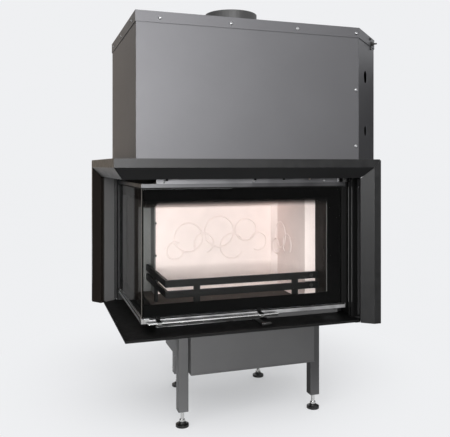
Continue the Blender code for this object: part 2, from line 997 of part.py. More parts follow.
def make_right_lining(right):
    name = "fireclay_right"
    rear = lining_back_front - clearance
    outline = (
        (lining_right_face, lining_right_front),
        (right, lining_right_front),
        (right, rear),
        (lining_right_face - lining_corner, rear),
        (lining_right_face, rear - lining_corner),
    )
    front_rise = (lining_back_front - lining_right_front) * baffle_rise_share
    top = lining_back_top + front_rise
    brick = prism(name, [outline], lining_foot, top + overrun, fireclay(name))
    slope = (
        (lining_back_front + overrun, lining_back_top - overrun * baffle_rise_share),
        (lining_back_front + overrun, top + 2 * overrun),
        (lining_right_front - overrun, top + 2 * overrun),
        (lining_right_front - overrun, top + overrun * baffle_rise_share),
    )
    left = lining_right_face - lining_corner - overrun
    cut(brick, prism_tool(name + "_slope", [slope], left, right + overrun, "x"))


def make_baffle(right, rear):
    name = "baffle"
    foot = lining_back_top + clearance
    rise = (lining_back_front - baffle_front) * baffle_rise_share
    height = baffle_thickness * math.hypot(whole_share, baffle_rise_share)
    # The slope starts a little higher than the wall's own, so that the two never share metal.
    start = foot + clearance
    outline = (
        (rear, foot),
        (rear, foot + height),
        (lining_back_front, start + height),
        (baffle_front, start + rise + height),
        (baffle_front, start + rise),
        (lining_back_front, start),
        (lining_back_front + clearance, foot),
    )
    prism(name, [outline], baffle_left, right, fireclay(name), "x")


def make_log_guard():
    name = "log_guard"
    depth = guard_bar_depth
    right = shell_inside_right - clearance
    rear = shell_inside_rear - clearance
    outline = (
        (guard_corner, guard_corner),
        (right, guard_corner),
        (right, guard_corner + depth),
        (guard_corner + depth, guard_corner + depth),
        (guard_corner + depth, rear),
        (guard_corner, rear),
    )
    guard = prism(name, [outline], guard_upper_foot, guard_upper_foot + guard_bar_height, black_paint(name))
    lower_top = guard_lower_foot + guard_bar_height
    join(guard, prism_tool(name + "_lower", [outline], guard_lower_foot, lower_top))
    top = guard_upper_foot + guard_bar_height
    for number, share in enumerate(guard_posts_along_shares):
        x = guard_corner + share * (right - guard_corner)
        low = (x, guard_corner, lining_foot)
        high = (x + guard_post_width, guard_corner + depth, top)
        join(guard, block_tool("%s_front_post_%d" % (name, number), low, high))
    for number, share in enumerate(guard_posts_back_shares):
        y = guard_corner + share * (rear - guard_corner)
        low = (guard_corner, y, lining_foot)
        high = (guard_corner + depth, y + guard_post_width, top)
        join(guard, block_tool("%s_side_post_%d" % (name, number), low, high))


def corner_outline(near, far, front_end, side_end):
    """An L in plan, from near to far behind the door's face."""
    return (
        (near, near),
        (front_end, near),
        (front_end, far),
        (far, far),
        (far, side_end),
        (near, side_end),
    )


def make_trims():
    outline = corner_outline(door_corner, door_back, door_right, door_rear)
    groove_reach = stile_width - groove_depth
    groove = corner_outline(groove_front, groove_back, door_right - groove_reach, door_rear - groove_reach)
    levels = {
        "door_bottom_trim": (door_foot, door_foot + trim_height - groove_depth),
        "door_top_trim": (door_top - trim_height, door_top - trim_height - overrun),
    }
    for name, (foot, groove_foot) in levels.items():
        material = paint(name, (0.42, 0.42, 0.43), 0.35, 1.0)
        trim = prism(name, [outline], foot, foot + trim_height, material)
        groove_top = groove_foot + groove_depth + overrun
        cut(trim, prism_tool(name + "_groove", [groove], groove_foot, groove_top))


def make_stile(side):
    name = "door_%s_stile" % side
    material = paint(name, (0.42, 0.42, 0.43), 0.35, 1.0)
    foot = door_foot + trim_height + clearance
    top = door_top - trim_height - clearance
    heights = (foot, top)
    stile = side_block(name, side, (-stile_width, 0), (door_corner, carriage_back), heights, material)
    whole = (door_foot, door_top)
    plate = side_block_tool(
        name + "_plate", side, (-carriage_overlap, rail_bar_end), (carriage_front, carriage_back), whole
    )
    join(stile, plate)
    bar_along = (rail_bar_start, rail_bar_end)
    join(stile, side_block_tool(name + "_bar", side, bar_along, (door_corner, carriage_back), whole))
    tongue_along = (rail_bar_start, weight_end)
    join(stile, side_block_tool(name + "_tongue", side, tongue_along, (tongue_front, carriage_back), whole))
    groove_along = (-stile_width - overrun, groove_depth - stile_width)
    groove_across = (groove_front, groove_back)
    groove_heights = (foot - overrun, top + overrun)
    cut(stile, side_block_tool(name + "_groove", side, groove_along, groove_across, groove_heights))


def make_glass():
    edge = stile_width - groove_depth + clearance
    material = paint("front_glass", (0.80, 0.84, 0.83), 0.02, 0.0, 0.3)
    front_low = (glass_front, glass_front, pane_foot)
    front_high = (door_right - edge, glass_back, pane_top)
    block("front_glass", front_low, front_high, material)
    material = paint("side_glass", (0.80, 0.84, 0.83), 0.02, 0.0, 0.3)
    side_low = (glass_front, glass_back + clearance, pane_foot)
    side_high = (glass_back, door_rear - edge, pane_top)
    block("side_glass", side_low, side_high, material)


def make_clamp_strip():
    name = "door_clamp_strip"
    left = door_corner + clamp_start
    right = door_right - clamp_end_gap
    front = carriage_front
    rear = front + clamp_sheet
    strip = block(name, (left, front, clamp_foot), (right, rear, clamp_top), bare_steel(name))
    for number, share in enumerate(clamp_notch_shares):
        x = left + share * (right - left)
        low = (x - clamp_notch_width / 2, front - overrun, clamp_top - clamp_notch_depth)
        high = (x + clamp_notch_width / 2, rear + overrun, clamp_top + overrun)
        cut(strip, block_tool("%s_notch_%d" % (name, number), low, high))
    pin_foot = door_top + clearance
    pin_centre = (right - hinge_pin_inset, rear, (pin_foot + clamp_top) / 2)
    pin_length = clamp_top - pin_foot
    join(strip, cylinder_tool(name + "_pin", pin_centre, hinge_pin_radius, pin_length, "z", small_facets))


def make_handle():
    name = "handle_rod"
    centre = ((rod_start + rod_end) / 2, -rod_front, rod_height)
    cylinder(name, centre, rod_radius, rod_end - rod_start, "x", bare_steel(name), round_facets)
    for side, x in handle_places.items():
        make_handle_bracket(side, x)


def make_handle_bracket(side, x):
    name = "handle_bracket_" + side
    back = door_corner - clearance
    face = back - handle_sheet
    ring = rod_radius + handle_ring
    front = -rod_front - ring
    foot = rod_height - handle_ring
    arm_top = rod_height + handle_ring
    outline = (
        (back, door_foot),
        (back, handle_top),
        (face, handle_top),
        (face, arm_top + handle_sheet),
        (0, arm_top),
        (front + handle_sheet, arm_top),
        (front, rod_height + handle_sheet),
        (front, rod_height - handle_sheet),
        (front + handle_sheet, foot),
        (0, foot),
    )
    outline = outline[::-1]
    low = x - handle_width / 2
    bracket = prism(name, [outline], low, low + handle_width, bare_steel(name), "x")
    bore = rod_radius + clearance
    hole_at = (x, -rod_front, rod_height)
    cut(bracket, cylinder_tool(name + "_bore", hole_at, bore, 2 * handle_width, "x", round_facets))


def make_column(side):
    name = "guide_rail_" + side
    half = column_sheet / 2
    web = column_reach - half
    plan = (
        (column_lip_start, column_front + half),
        (web, column_front + half),
        (web, column_rear - half),
        (weight_start, column_rear - half),
    )
    rows = []
    for along, across in plan:
        x, y = side_place(side, along, across)
        rows.append(((x, y, column_foot), (x, y, column_top)))
    column = folded_sheet(name, rows, column_sheet, black_paint(name), 0)
    lip_along = (column_lip_start, web)
    lip_across = (second_lip_front, second_lip_front + column_sheet)
    heights = (column_foot, second_lip_top)
    join(column, side_block_tool(name + "_second_lip", side, lip_along, lip_across, heights))
    join(column, flange_tool(name + "_flange", side, web))


def flange_tool(name, side, start):
    """A folded cover strip beside the door, which closes the gap to the surround."""
    rear = flange_front + flange_sheet
    fold = flange_end - flange_sheet
    plan = (
        (start, flange_front),
        (fold, flange_front),
        (fold, flange_front - flange_depth),
        (flange_end, flange_front - flange_depth),
        (flange_end, rear),
        (start, rear),
    )
    outline = [side_place(side, along, across) for along, across in plan]
    top = surround_under - surround_sheet - clearance
    return prism_tool(name, [outline], column_foot + clearance, top)


def make_weight(side):
    name = "counterweight_" + side
    along = (weight_start, weight_end)
    across = (weight_front, weight_rear)
    material = paint(name, (0.10, 0.10, 0.10), 0.6, 0.5)
    weight = side_block(name, side, along, across, (weight_foot, weight_top), material)
    bevel(weight, weight_bevel)


def make_pulley(side):
    name = "pulley_" + side
    half = pulley_width / 2
    outer = pulley_radius + pulley_rim
    floor = pulley_radius - cable_radius - clearance
    profile = (
        (pulley_bore, half),
        (outer, half),
        (outer, half - pulley_edge),
        (floor, groove_floor / 2),
        (floor, -groove_floor / 2),
        (outer, pulley_edge - half),
        (outer, -half),
        (pulley_bore, -half),
    )
    centre = (*side_place(side, cable_along, pulley_across), pulley_height)
    material = paint(name, (0.6, 0.6, 0.6), 0.35, 0.9)
    turned(name, profile, True, round_facets, material, centre, side_way[side])


def make_pulley_bracket(side):
    name = "pulley_bracket_" + side
    end = column_inside - clearance
    start = end - bracket_sheet
    across = (pulley_across - bracket_width / 2, pulley_across + bracket_width / 2)
    heights = (pulley_height - bracket_rise, pulley_height + bracket_rise)
    bracket = side_block(name, side, (start, end), across, heights, bare_steel(name))
    half = pulley_width / 2 + clearance
    rounds = {
        "axle": (axle_radius, cable_along - half - axle_head / 2, start + bracket_sheet / 2),
        "collar": (axle_collar, cable_along + half, start + bracket_sheet / 2),
        "head": (axle_collar, cable_along - half - axle_head, cable_along - half),
    }
    for piece, (radius, low, high) in rounds.items():
        centre = (*side_place(side, (low + high) / 2, pulley_across), pulley_height)
        way = side_way[side]
        join(bracket, cylinder_tool(name + "_" + piece, centre, radius, high - low, way, small_facets))


def make_cables(side):
    steel = (0.5, 0.5, 0.5)
    runs = {
        "door": (cable_across, door_top + clearance),
        "weight": (weight_across, weight_top + clearance),
    }
    top = pulley_height - clearance
    for end, (across, foot) in runs.items():
        name = "cable_%s_%s" % (end, side)
        x, y = side_place(side, cable_along, across)
        centre = (x, y, (foot + top) / 2)
        material = paint(name, steel, 0.4, 1.0)
        cylinder(name, centre, cable_radius, top - foot, "z", material, small_facets)
    make_cable_wrap(side, steel)


def make_cable_wrap(side, steel):
    name = "cable_wrap_" + side
    curve = bpy.data.curves.new(name, "CURVE")
    curve.dimensions = "3D"
    curve.bevel_depth = cable_radius
    curve.bevel_resolution = 2
    curve.use_fill_caps = True
    spline = curve.splines.new("POLY")
    spline.points.add(arc_steps)
    for step, point in enumerate(spline.points):
        turn = half_turn * step / arc_steps
        across = pulley_across - pulley_radius * math.cos(turn)
        x, y = side_place(side, cable_along, across)
        point.co = (x, y, pulley_height + pulley_radius * math.sin(turn), 1)
    wrap = bpy.data.objects.new(name, curve)
    parts.objects.link(wrap)
    wrap.parent = root
    curve.materials.append(paint(name, steel, 0.4, 1.0))


def make_surround_top():
    """Five fold lines round the front-left corner, from the back of the side to the right end."""
    name = "surround_top"
    out = surround_out
    inner = surround_out - bevel_in
    fascia_foot = surround_top - fascia_height
    flat_end = surround_right - surround_sheet - mitre_gap
    flat_rear = surround_rear - surround_sheet - mitre_gap
    beside = fascia_width
    within = fascia_width + bevel_width
    back_slope = return_flare * (surround_back + inner) / return_depth
    lines = (
        (-surround_back, surround_top, flat_end, flat_rear),
        (out, surround_top, flat_end, flat_rear),
        (out, fascia_foot, surround_right - beside, surround_rear - beside),
        (inner, surround_under, surround_right - within, surround_rear - within),
        (
            -surround_back,
            surround_under,
            surround_right - within + back_slope,
            surround_rear - within + back_slope,
        ),
    )
    rows = []
    for stand_out, height, right_end, rear_end in lines:
        line = (
            (-stand_out, rear_end, height),
            (-stand_out, -stand_out, height),
            (right_end, -stand_out, height),
        )
        rows.append(line)
    folded_sheet(name, rows, surround_sheet, black_paint(name), -1)


def make_surround_side(side):
    name = "surround_" + side
    out = surround_out
    inner = surround_out - bevel_in
    end = surround_out + (surround_right if side == "right" else surround_rear)
    fascia_foot = surround_top - fascia_height
    within = fascia_width + bevel_width
    full = surround_top - surround_sheet - mitre_gap
    lines = (
        (end, surround_back, full),
        (end, -out, full),
        (end - fascia_width, -out, fascia_foot - mitre_gap),
        (end - within, -inner, surround_under - mitre_gap),
        (end - within + return_flare, return_depth - inner, surround_under - mitre_gap),
    )
    rows = []
    for along, across, top in lines:
        near = along - out
        x, y = (near, across) if side == "right" else (across, near)
        rows.append(((x, y, surround_foot), (x, y, top)))
    inward = -1 if side == "left" else 1
    folded_sheet(name, rows, surround_sheet, black_paint(name), inward)


def make_door():
    make_trims()
    make_glass()
    make_clamp_strip()
    make_handle()
    for side in ("right", "left"):
        make_stile(side)


def make_lift():
    for side in ("right", "left"):
        make_column(side)
        make_weight(side)
        make_pulley(side)
        make_pulley_bracket(side)
        make_cables(side)


def make_surround():
    make_surround_top()
    for side in ("right", "left"):
        make_surround_side(side)


def make_fireplace():
    make_legs()
    make_bottom_plate()
    make_air_box()
    make_air_slide()
    make_sill()
    make_shell()
    make_jacket()
    make_smoke_box()
    make_lining()
    make_log_guard()
    make_hood()
    make_door()
    make_lift()
    make_surround()


make_fireplace()
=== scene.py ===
"""The looks of a corner fireplace with a water jacket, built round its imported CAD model."""

import json
import math

import bmesh
import bpy
from mathutils import Matrix, Vector


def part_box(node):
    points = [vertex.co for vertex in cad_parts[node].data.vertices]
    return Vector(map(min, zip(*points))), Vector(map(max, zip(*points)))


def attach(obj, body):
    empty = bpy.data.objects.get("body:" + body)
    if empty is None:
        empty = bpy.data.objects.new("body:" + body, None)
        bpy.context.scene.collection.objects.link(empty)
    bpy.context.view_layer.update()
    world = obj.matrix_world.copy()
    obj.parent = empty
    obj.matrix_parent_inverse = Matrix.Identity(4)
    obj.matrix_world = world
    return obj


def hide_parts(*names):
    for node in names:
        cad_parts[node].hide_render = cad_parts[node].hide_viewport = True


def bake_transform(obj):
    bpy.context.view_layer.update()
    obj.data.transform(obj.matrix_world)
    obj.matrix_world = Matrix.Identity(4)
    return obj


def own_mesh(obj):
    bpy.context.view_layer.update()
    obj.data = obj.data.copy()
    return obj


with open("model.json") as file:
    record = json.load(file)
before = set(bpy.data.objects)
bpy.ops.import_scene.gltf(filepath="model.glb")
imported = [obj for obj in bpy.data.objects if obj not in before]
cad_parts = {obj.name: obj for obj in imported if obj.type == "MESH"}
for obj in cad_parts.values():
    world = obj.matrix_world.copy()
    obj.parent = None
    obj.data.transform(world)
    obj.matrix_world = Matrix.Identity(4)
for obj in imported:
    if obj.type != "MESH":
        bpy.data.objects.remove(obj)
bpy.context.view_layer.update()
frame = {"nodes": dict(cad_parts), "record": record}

# Places below are measured from the hood's front-left corner: along, back, and up from the floor.
hood_low, hood_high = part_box("hood_lid")
corner = Vector((hood_low[0], hood_low[1], 0))
hood_width = hood_high[0] - hood_low[0]
hood_depth = hood_high[1] - hood_low[1]
hood_top = hood_high[2]
up = Vector((0, 0, 1))
front = Vector((0, -1, 0))
back = Vector((0, 1, 0))
left = Vector((-1, 0, 0))
right = Vector((1, 0, 0))


def at(along, deep, height):
    return corner + Vector((along, deep, height))


# ---- the photograph's camera

eye_height = 0.888
eye_left = 0.3128
eye_back = 1.8643
eye_turn = math.radians(18.157)
lens_mm = 47.3
film_mm = 36
frame_shift = -0.1176
far_clip = 200

# ---- the studio's light

# Even light from every side, as a share of plain white light
sky_light = 0.80
# The camera sees a share of the floor as its plain colour: the low share in the heart of the shadow,
# and all of it beyond the shadow's reach.
shadow_heart = (0.0, 0.44, 0)
heart_share = 0.25
heart_radius = 0.30
shadow_reach = 0.98
floor_reach = 40
lamp_distance = 6

# ---- colours, as linear values

pale = (0.863, 0.871, 0.887)
white = (1, 1, 1, 1)
hood_grey = (0.152, 0.151, 0.158)
leg_grey = (0.160, 0.160, 0.162)
# The right front leg's darker copy of the leg grey is painted shade
shaded_leg_grey = (0.106, 0.106, 0.108)
satin_black = (0.008, 0.008, 0.008)
surround_black = (0.009, 0.009, 0.0093)
# The left surround's colours: painted shade on its outside, painted light on its inner flange
left_surround_shaded_black = (0.0100, 0.0080, 0.0068)
flange_painted_light_grey = (0.112, 0.111, 0.111)
sooty_black = (0.0095, 0.0080, 0.0070)
print_ink = (0.0035, 0.0035, 0.0035)
fireclay_cream = (0.915, 0.785, 0.75)
dark_clay_brown = (0.048, 0.040, 0.036)
zinc_grey = (0.60, 0.60, 0.61)


# ---- shader helpers

def new_material(name):
    material = bpy.data.materials.new(name)
    material.use_nodes = True
    tree = material.node_tree
    return material, tree, tree.nodes["Principled BSDF"]


def set_values(node, values):
    for socket, value in values.items():
        node.inputs[socket].default_value = value


def add(tree, kind, values=None, **settings):
    """A new node with these settings and input values."""
    node = tree.nodes.new(kind)
    for setting, value in settings.items():
        setattr(node, setting, value)
    set_values(node, values or {})
    return node


def link(tree, start, end):
    tree.links.new(start, end)


def object_space(tree, stretch=(1, 1, 1)):
    place = add(tree, "ShaderNodeTexCoord")
    mapping = add(tree, "ShaderNodeMapping", {"Scale": stretch})
    link(tree, place.outputs["Object"], mapping.inputs["Vector"])
    return mapping.outputs["Vector"]


def split(tree, vector):
    parts = add(tree, "ShaderNodeSeparateXYZ")
    link(tree, vector, parts.inputs["Vector"])
    return parts.outputs


def noise(tree, vector, scale, detail=2.0, rough=0.5):
    node = add(tree, "ShaderNodeTexNoise", {"Scale": scale, "Detail": detail, "Roughness": rough})
    link(tree, vector, node.inputs["Vector"])
    return node.outputs["Fac"]


def ranged(tree, value, start, end, low=0.0, high=1.0, kind="LINEAR"):
    """Turns a value between start and end into one between low and high."""
    limits = {"From Min": start, "From Max": end, "To Min": low, "To Max": high}
    node = add(tree, "ShaderNodeMapRange", limits, interpolation_type=kind)
    link(tree, value, node.inputs["Value"])
    return node.outputs["Result"]


def spread(tree, value, low, high):
    """Turns a noise value, mostly between 0.3 and 0.7, into one between low and high."""
    return ranged(tree, value, 0.3, 0.7, low, high)


def maths(tree, operation, first, second):
    node = add(tree, "ShaderNodeMath", operation=operation)
    link(tree, first, node.inputs[0])
    link(tree, second, node.inputs[1])
    return node.outputs[0]


def tint(tree, value, dark, light):
    node = add(tree, "ShaderNodeMix", {"A": (*dark, 1), "B": (*light, 1)}, data_type="RGBA")
    link(tree, value, node.inputs["Factor"])
    return node.outputs["Result"]


def scaled(colour, share):
    return tuple(part * share for part in colour)


def mottled(tree, value, colour, dark_share, light_share):
    """The colour, made a little darker and lighter by a noise value."""
    return tint(tree, spread(tree, value, 0.0, 1.0), scaled(colour, dark_share), scaled(colour, light_share))


def bumped(tree, shader, height, depth, strength, edge=0.0):
    """Fine relief, with sharp edges rounded off by the radius edge."""
    node = add(tree, "ShaderNodeBump", {"Distance": depth, "Strength": strength})
    link(tree, height, node.inputs["Height"])
    if edge:
        rounding = add(tree, "ShaderNodeBevel", {"Radius": edge}, samples=4)
        link(tree, rounding.outputs["Normal"], node.inputs["Normal"])
    link(tree, node.outputs["Normal"], shader.inputs["Normal"])


def ray(tree, what):
    return add(tree, "ShaderNodeLightPath").outputs[what]


def mix_surface(tree, share, first, second, output="Material Output"):
    """Makes the surface a mix of two shaders."""
    mix = add(tree, "ShaderNodeMixShader")
    link(tree, share, mix.inputs["Fac"])
    link(tree, first, mix.inputs[1])
    link(tree, second, mix.inputs[2])
    link(tree, mix.outputs["Shader"], tree.nodes[output].inputs["Surface"])


# ---- kinds of material

def painted(
    name,
    colour,
    roughness,
    depth=0.00012,
    edge=0.0008,
    specular=0.5,
    metallic=0.0,
    spread_share=0.07,
    gloss_share=0.05,
):
    """Sprayed paint on sheet metal: a fine orange peel, faint clouds and slightly uneven gloss."""
    material, tree, shader = new_material(name)
    space = object_space(tree)
    clouds = noise(tree, space, scale=5.0, detail=3.0)
    colour_out = mottled(tree, clouds, colour, 1 - spread_share, 1 + spread_share)
    link(tree, colour_out, shader.inputs["Base Color"])
    gloss = noise(tree, space, scale=38.0, detail=4.0, rough=0.6)
    roughness_out = spread(tree, gloss, roughness - gloss_share, roughness + gloss_share)
    link(tree, roughness_out, shader.inputs["Roughness"])
    set_values(shader, {"Specular IOR Level": specular, "Metallic": metallic})
    peel = noise(tree, space, scale=650.0)
    bumped(tree, shader, peel, depth, 0.35, edge)
    return material


def recoloured(material, colour, start, end, way=None, axis="X"):
    """Mixes another colour in between two places along an axis, on the faces that look this way."""
    tree = material.node_tree
    shader = tree.nodes["Principled BSDF"]
    plain = shader.inputs["Base Color"].links[0].from_socket
    spot = add(tree, "ShaderNodeNewGeometry")
    share = ranged(tree, split(tree, spot.outputs["Position"])[axis], start, end)
    if way:
        match = add(tree, "ShaderNodeVectorMath", {1: way}, operation="DOT_PRODUCT")
        link(tree, spot.outputs["True Normal"], match.inputs[0])
        turned = ranged(tree, match.outputs["Value"], 0.90, 0.96)
        share = maths(tree, "MULTIPLY", share, turned)
    mix = add(tree, "ShaderNodeMix", {"B": (*colour, 1)}, data_type="RGBA")
    link(tree, share, mix.inputs["Factor"])
    link(tree, plain, mix.inputs["A"])
    link(tree, mix.outputs["Result"], shader.inputs["Base Color"])
    return material


def brushed(name, colour, roughness, stretch, depth=0.00006, metallic=1.0):
    """Metal with fine brush lines. They run along the axis whose stretch is the smallest."""
    material, tree, shader = new_material(name)
    lines = noise(tree, object_space(tree, stretch), scale=1.0, detail=4.0, rough=0.7)
    link(tree, mottled(tree, lines, colour, 0.86, 1.08), shader.inputs["Base Color"])
    smudges = noise(tree, object_space(tree), scale=24.0, detail=3.0)
    link(tree, spread(tree, smudges, roughness - 0.06, roughness + 0.08), shader.inputs["Roughness"])
    set_values(shader, {"Metallic": metallic})
    bumped(tree, shader, lines, depth, 0.4, 0.0005)
    return material


def cast_fireclay(name):
    """Pale cast fireclay: sandy grain, tiny pits and soft mottling."""
    material, tree, shader = new_material(name)
    space = object_space(tree)
    mottle = noise(tree, space, scale=14.0, detail=5.0, rough=0.6)
    link(tree, mottled(tree, mottle, fireclay_cream, 0.95, 1.03), shader.inputs["Base Color"])
    set_values(shader, {"Roughness": 0.9, "Specular IOR Level": 0.2})
    sand = noise(tree, space, scale=520.0, detail=4.0, rough=0.7)
    pits = noise(tree, space, scale=130.0)
    grain = maths(tree, "ADD", sand, spread(tree, pits, 0.0, 1.0))
    bumped(tree, shader, grain, 0.0004, 0.5)
    return material


def galvanised(name):
    """Zinc coat with flat grey spangles."""
    material, tree, shader = new_material(name)
    cells = add(tree, "ShaderNodeTexVoronoi", {"Scale": 95.0})
    link(tree, object_space(tree), cells.inputs["Vector"])
    grey = add(tree, "ShaderNodeSeparateColor")
    link(tree, cells.outputs["Color"], grey.inputs["Color"])
    shade = grey.outputs["Red"]
    link(tree, tint(tree, shade, (0.42, 0.43, 0.44), (0.58, 0.59, 0.60)), shader.inputs["Base Color"])
    link(tree, spread(tree, shade, 0.34, 0.46), shader.inputs["Roughness"])
    set_values(shader, {"Metallic": 1.0})
    return material


def stranded(name):
    """Wire rope: slanting strands round a thin bar."""
    material, tree, shader = new_material(name)
    wave = add(tree, "ShaderNodeTexWave", {"Scale": 300.0, "Distortion": 0.4}, bands_direction="DIAGONAL")
    link(tree, object_space(tree), wave.inputs["Vector"])
    strands = wave.outputs["Fac"]
    link(tree, tint(tree, strands, (0.22, 0.22, 0.22), (0.55, 0.55, 0.56)), shader.inputs["Base Color"])
    set_values(shader, {"Metallic": 1.0, "Roughness": 0.38})
    bumped(tree, shader, strands, 0.0003, 0.6)
    return material


def pane(name):
    """Clear glass that lets the lamps' light straight through to the fireclay."""
    material, tree, shader = new_material(name)
    haze = noise(tree, object_space(tree), scale=9.0, detail=4.0)
    link(tree, spread(tree, haze, 0.0, 0.012), shader.inputs["Roughness"])
    set_values(shader, {"Base Color": (0.97, 0.98, 0.975, 1), "IOR": 1.45, "Transmission Weight": 1.0})
    clear = add(tree, "ShaderNodeBsdfTransparent", {"Color": (0.99, 0.995, 0.99, 1)})
    either = maths(tree, "MAXIMUM", ray(tree, "Is Shadow Ray"), ray(tree, "Is Diffuse Ray"))
    mix_surface(tree, either, shader.outputs["BSDF"], clear.outputs["BSDF"])
    return material


def cloth_paint(name, colour):
    """Dull cloth that a look straight through the glass passes, and only reflections show."""
    material, tree, shader = new_material(name)
    weave = noise(tree, object_space(tree), scale=40.0)
    link(tree, tint(tree, weave, scaled(colour, 0.9), scaled(colour, 1.1)), shader.inputs["Base Color"])
    set_values(shader, {"Roughness": 0.9, "Specular IOR Level": 0.0})
    clear = add(tree, "ShaderNodeBsdfTransparent")
    reflected = add(tree, "ShaderNodeMath", {1: 0.5}, operation="GREATER_THAN")
    link(tree, ray(tree, "Glossy Depth"), reflected.inputs[0])
    mix_surface(tree, reflected.outputs[0], clear.outputs["BSDF"], shader.outputs["BSDF"])
    return material


def printed(name):
    """Black print on the pane. Its fine dots let the lamps' light through to the fireclay."""
    material = painted(name, print_ink, 0.9, depth=0.00002, edge=0.0, specular=0.0)
    tree = material.node_tree
    clear = add(tree, "ShaderNodeBsdfTransparent")
    shader = tree.nodes["Principled BSDF"]
    mix_surface(tree, ray(tree, "Is Shadow Ray"), shader.outputs["BSDF"], clear.outputs["BSDF"])
    return material


def print_fade_and_shade(name, solid_height, clear_height):
    """Black print that thins out in fine dots between two heights, partly print and partly painted shade."""
    material = printed(name)
    tree = material.node_tree
    place = add(tree, "ShaderNodeTexCoord")
    height = split(tree, place.outputs["Object"])["Z"]
    cover = ranged(tree, height, clear_height, solid_height, kind="SMOOTHSTEP")
    link(tree, cover, tree.nodes["Principled BSDF"].inputs["Alpha"])
    return material


# ---- the looks of the slots

materials = {
    "leg_grey": painted("leg_paint", leg_grey, 0.44, metallic=0.88, spread_share=0.04, gloss_share=0.015),
    "foot_zinc": brushed("bright_zinc", (0.74, 0.74, 0.73), 0.22, (900, 900, 60)),
    "pad_black": painted("pad_rubber", (0.006, 0.006, 0.006), 0.34, 0.00015),
    "galvanised": galvanised("galvanised_sheet"),
    "zinc": brushed("zinc_plate", zinc_grey, 0.30, (300, 300, 300)),
    "frame_black": painted("frame_paint", satin_black, 0.46, specular=0.25),
    "jacket_black": painted("jacket_paint", (0.028, 0.028, 0.028), 0.6),
    "socket_steel": brushed("socket_metal", (0.42, 0.41, 0.40), 0.40, (260, 260, 260)),
    "flue_black": painted("flue_paint", (0.040, 0.040, 0.040), 0.5),
    "fireclay": cast_fireclay("cast_fireclay"),
    "guard_black": painted("guard_paint", (0.005, 0.005, 0.005), 0.5, specular=0.15),
    "hood_grey": painted(
        "hood_paint", hood_grey, 0.48, 0.00010, metallic=0.90, spread_share=0.03, gloss_share=0.012
    ),
    "trim_steel": brushed("trim_metal", (0.40, 0.40, 0.41), 0.34, (14, 1100, 1100)),
    "glass": pane("door_glass"),
    "handle_steel": brushed("handle_metal", (0.80, 0.80, 0.79), 0.20, (4, 60, 60), 0.0),
    "weight_iron": painted("weight_paint", (0.05, 0.05, 0.05), 0.6),
    "pulley_steel": brushed("pulley_metal", (0.52, 0.52, 0.52), 0.30, (500, 500, 500)),
    "cable_steel": stranded("cable_metal"),
    "surround_black": painted("surround_paint", surround_black, 0.38, specular=0.55),
}

slots = {entry["node"]: entry["material_slot"] for entry in frame["record"]["subparts"]}
for name, node in frame["nodes"].items():
    node.data.materials.clear()
    node.data.materials.append(materials[slots[name]])


# ---- single nodes with a look of their own

def repaint(material, *names):
    for name in names:
        frame["nodes"][name].data.materials[0] = material


repaint(
    painted("stile_paint", (0.0045, 0.0045, 0.0045), 0.5, specular=0.12),
    "door_right_stile",
    "door_left_stile",
)
# One steel in three copies: the top trim and the clamp strip darker as painted shade, the bottom trim lighter
# as a painted highlight
repaint(brushed("top_trim_painted_shade", (0.145, 0.145, 0.15), 0.36, (14, 1100, 1100)), "door_top_trim")
repaint(brushed("bottom_trim_painted_highlight", (0.90, 0.90, 0.91), 0.34, (14, 1100, 1100)), "door_bottom_trim")
repaint(brushed("clamp_painted_shade", (0.25, 0.25, 0.26), 0.36, (14, 900, 900)), "door_clamp_strip")
repaint(brushed("slide_metal", (0.10, 0.10, 0.10), 0.34, (200, 200, 200)), "air_slide")
repaint(painted("plate_paint", (0.0065, 0.0065, 0.0065), 0.5, specular=0.14), "bottom_plate")
repaint(painted("sill_paint", (0.085, 0.085, 0.087), 0.5), "sill_strip")
repaint(painted("sooty_steel", sooty_black, 0.6, specular=0.15), "firebox_shell")
# The firebox floor's fireclay is a dark brown
repaint(painted("dark_floor_fireclay", dark_clay_brown, 0.85, depth=0.0005, edge=0.001, specular=0.2), "fireclay_floor")
# The right front leg has a darker copy of the leg paint as painted shade
repaint(
    painted("shaded_leg_paint", shaded_leg_grey, 0.44, metallic=0.88, spread_share=0.04, gloss_share=0.015),
    "leg_front_right",
)

# The left surround has its own browner, less shiny copy of the surround paint as painted shade on its outside,
# and is grey on its inner flange, which looks this way, as painted light.
flange_way = (0.484, -0.875, 0)
left_surround_painted_light = painted("left_surround_painted_light", left_surround_shaded_black, 0.34, specular=0.16)
repaint(
    recoloured(left_surround_painted_light, flange_painted_light_grey, corner.x - 0.037, corner.x - 0.031, flange_way),
    "surround_left",
)

# Painted shade on the baffle's left end: the fireclay turns dark brown towards that end
clay_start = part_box("fireclay_back")[0][0]
repaint(recoloured(cast_fireclay("baffle_fireclay_painted_shade"), dark_clay_brown, clay_start + 0.006, clay_start), "baffle")

# The handle's brackets are as bright as the rod where they cross it, a painted highlight, and dark over it.
rod_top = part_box("handle_rod")[1][2]
bracket_painted_highlight = brushed("bracket_painted_highlight", (0.66, 0.66, 0.65), 0.24, (200, 200, 60))
repaint(
    recoloured(bracket_painted_highlight, (0.035, 0.035, 0.035), rod_top - 0.0012, rod_top, axis="Z"),
    "handle_bracket_left",
    "handle_bracket_right",
)


# ---- mesh helpers

def linked(name, data):
    thing = bpy.data.objects.new(name, data)
    bpy.context.scene.collection.objects.link(thing)
    return thing


def free_mesh(name, shape, material, smooth=True):
    mesh = bpy.data.meshes.new(name)
    shape.to_mesh(mesh)
    shape.free()
    for face in mesh.polygons:
        face.use_smooth = smooth
    piece = linked(name, mesh)
    mesh.materials.append(material)
    return piece


def finish_mesh(name, shape, material, body, smooth=True):
    piece = free_mesh(name, shape, material, smooth)
    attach(piece, body)
    return piece


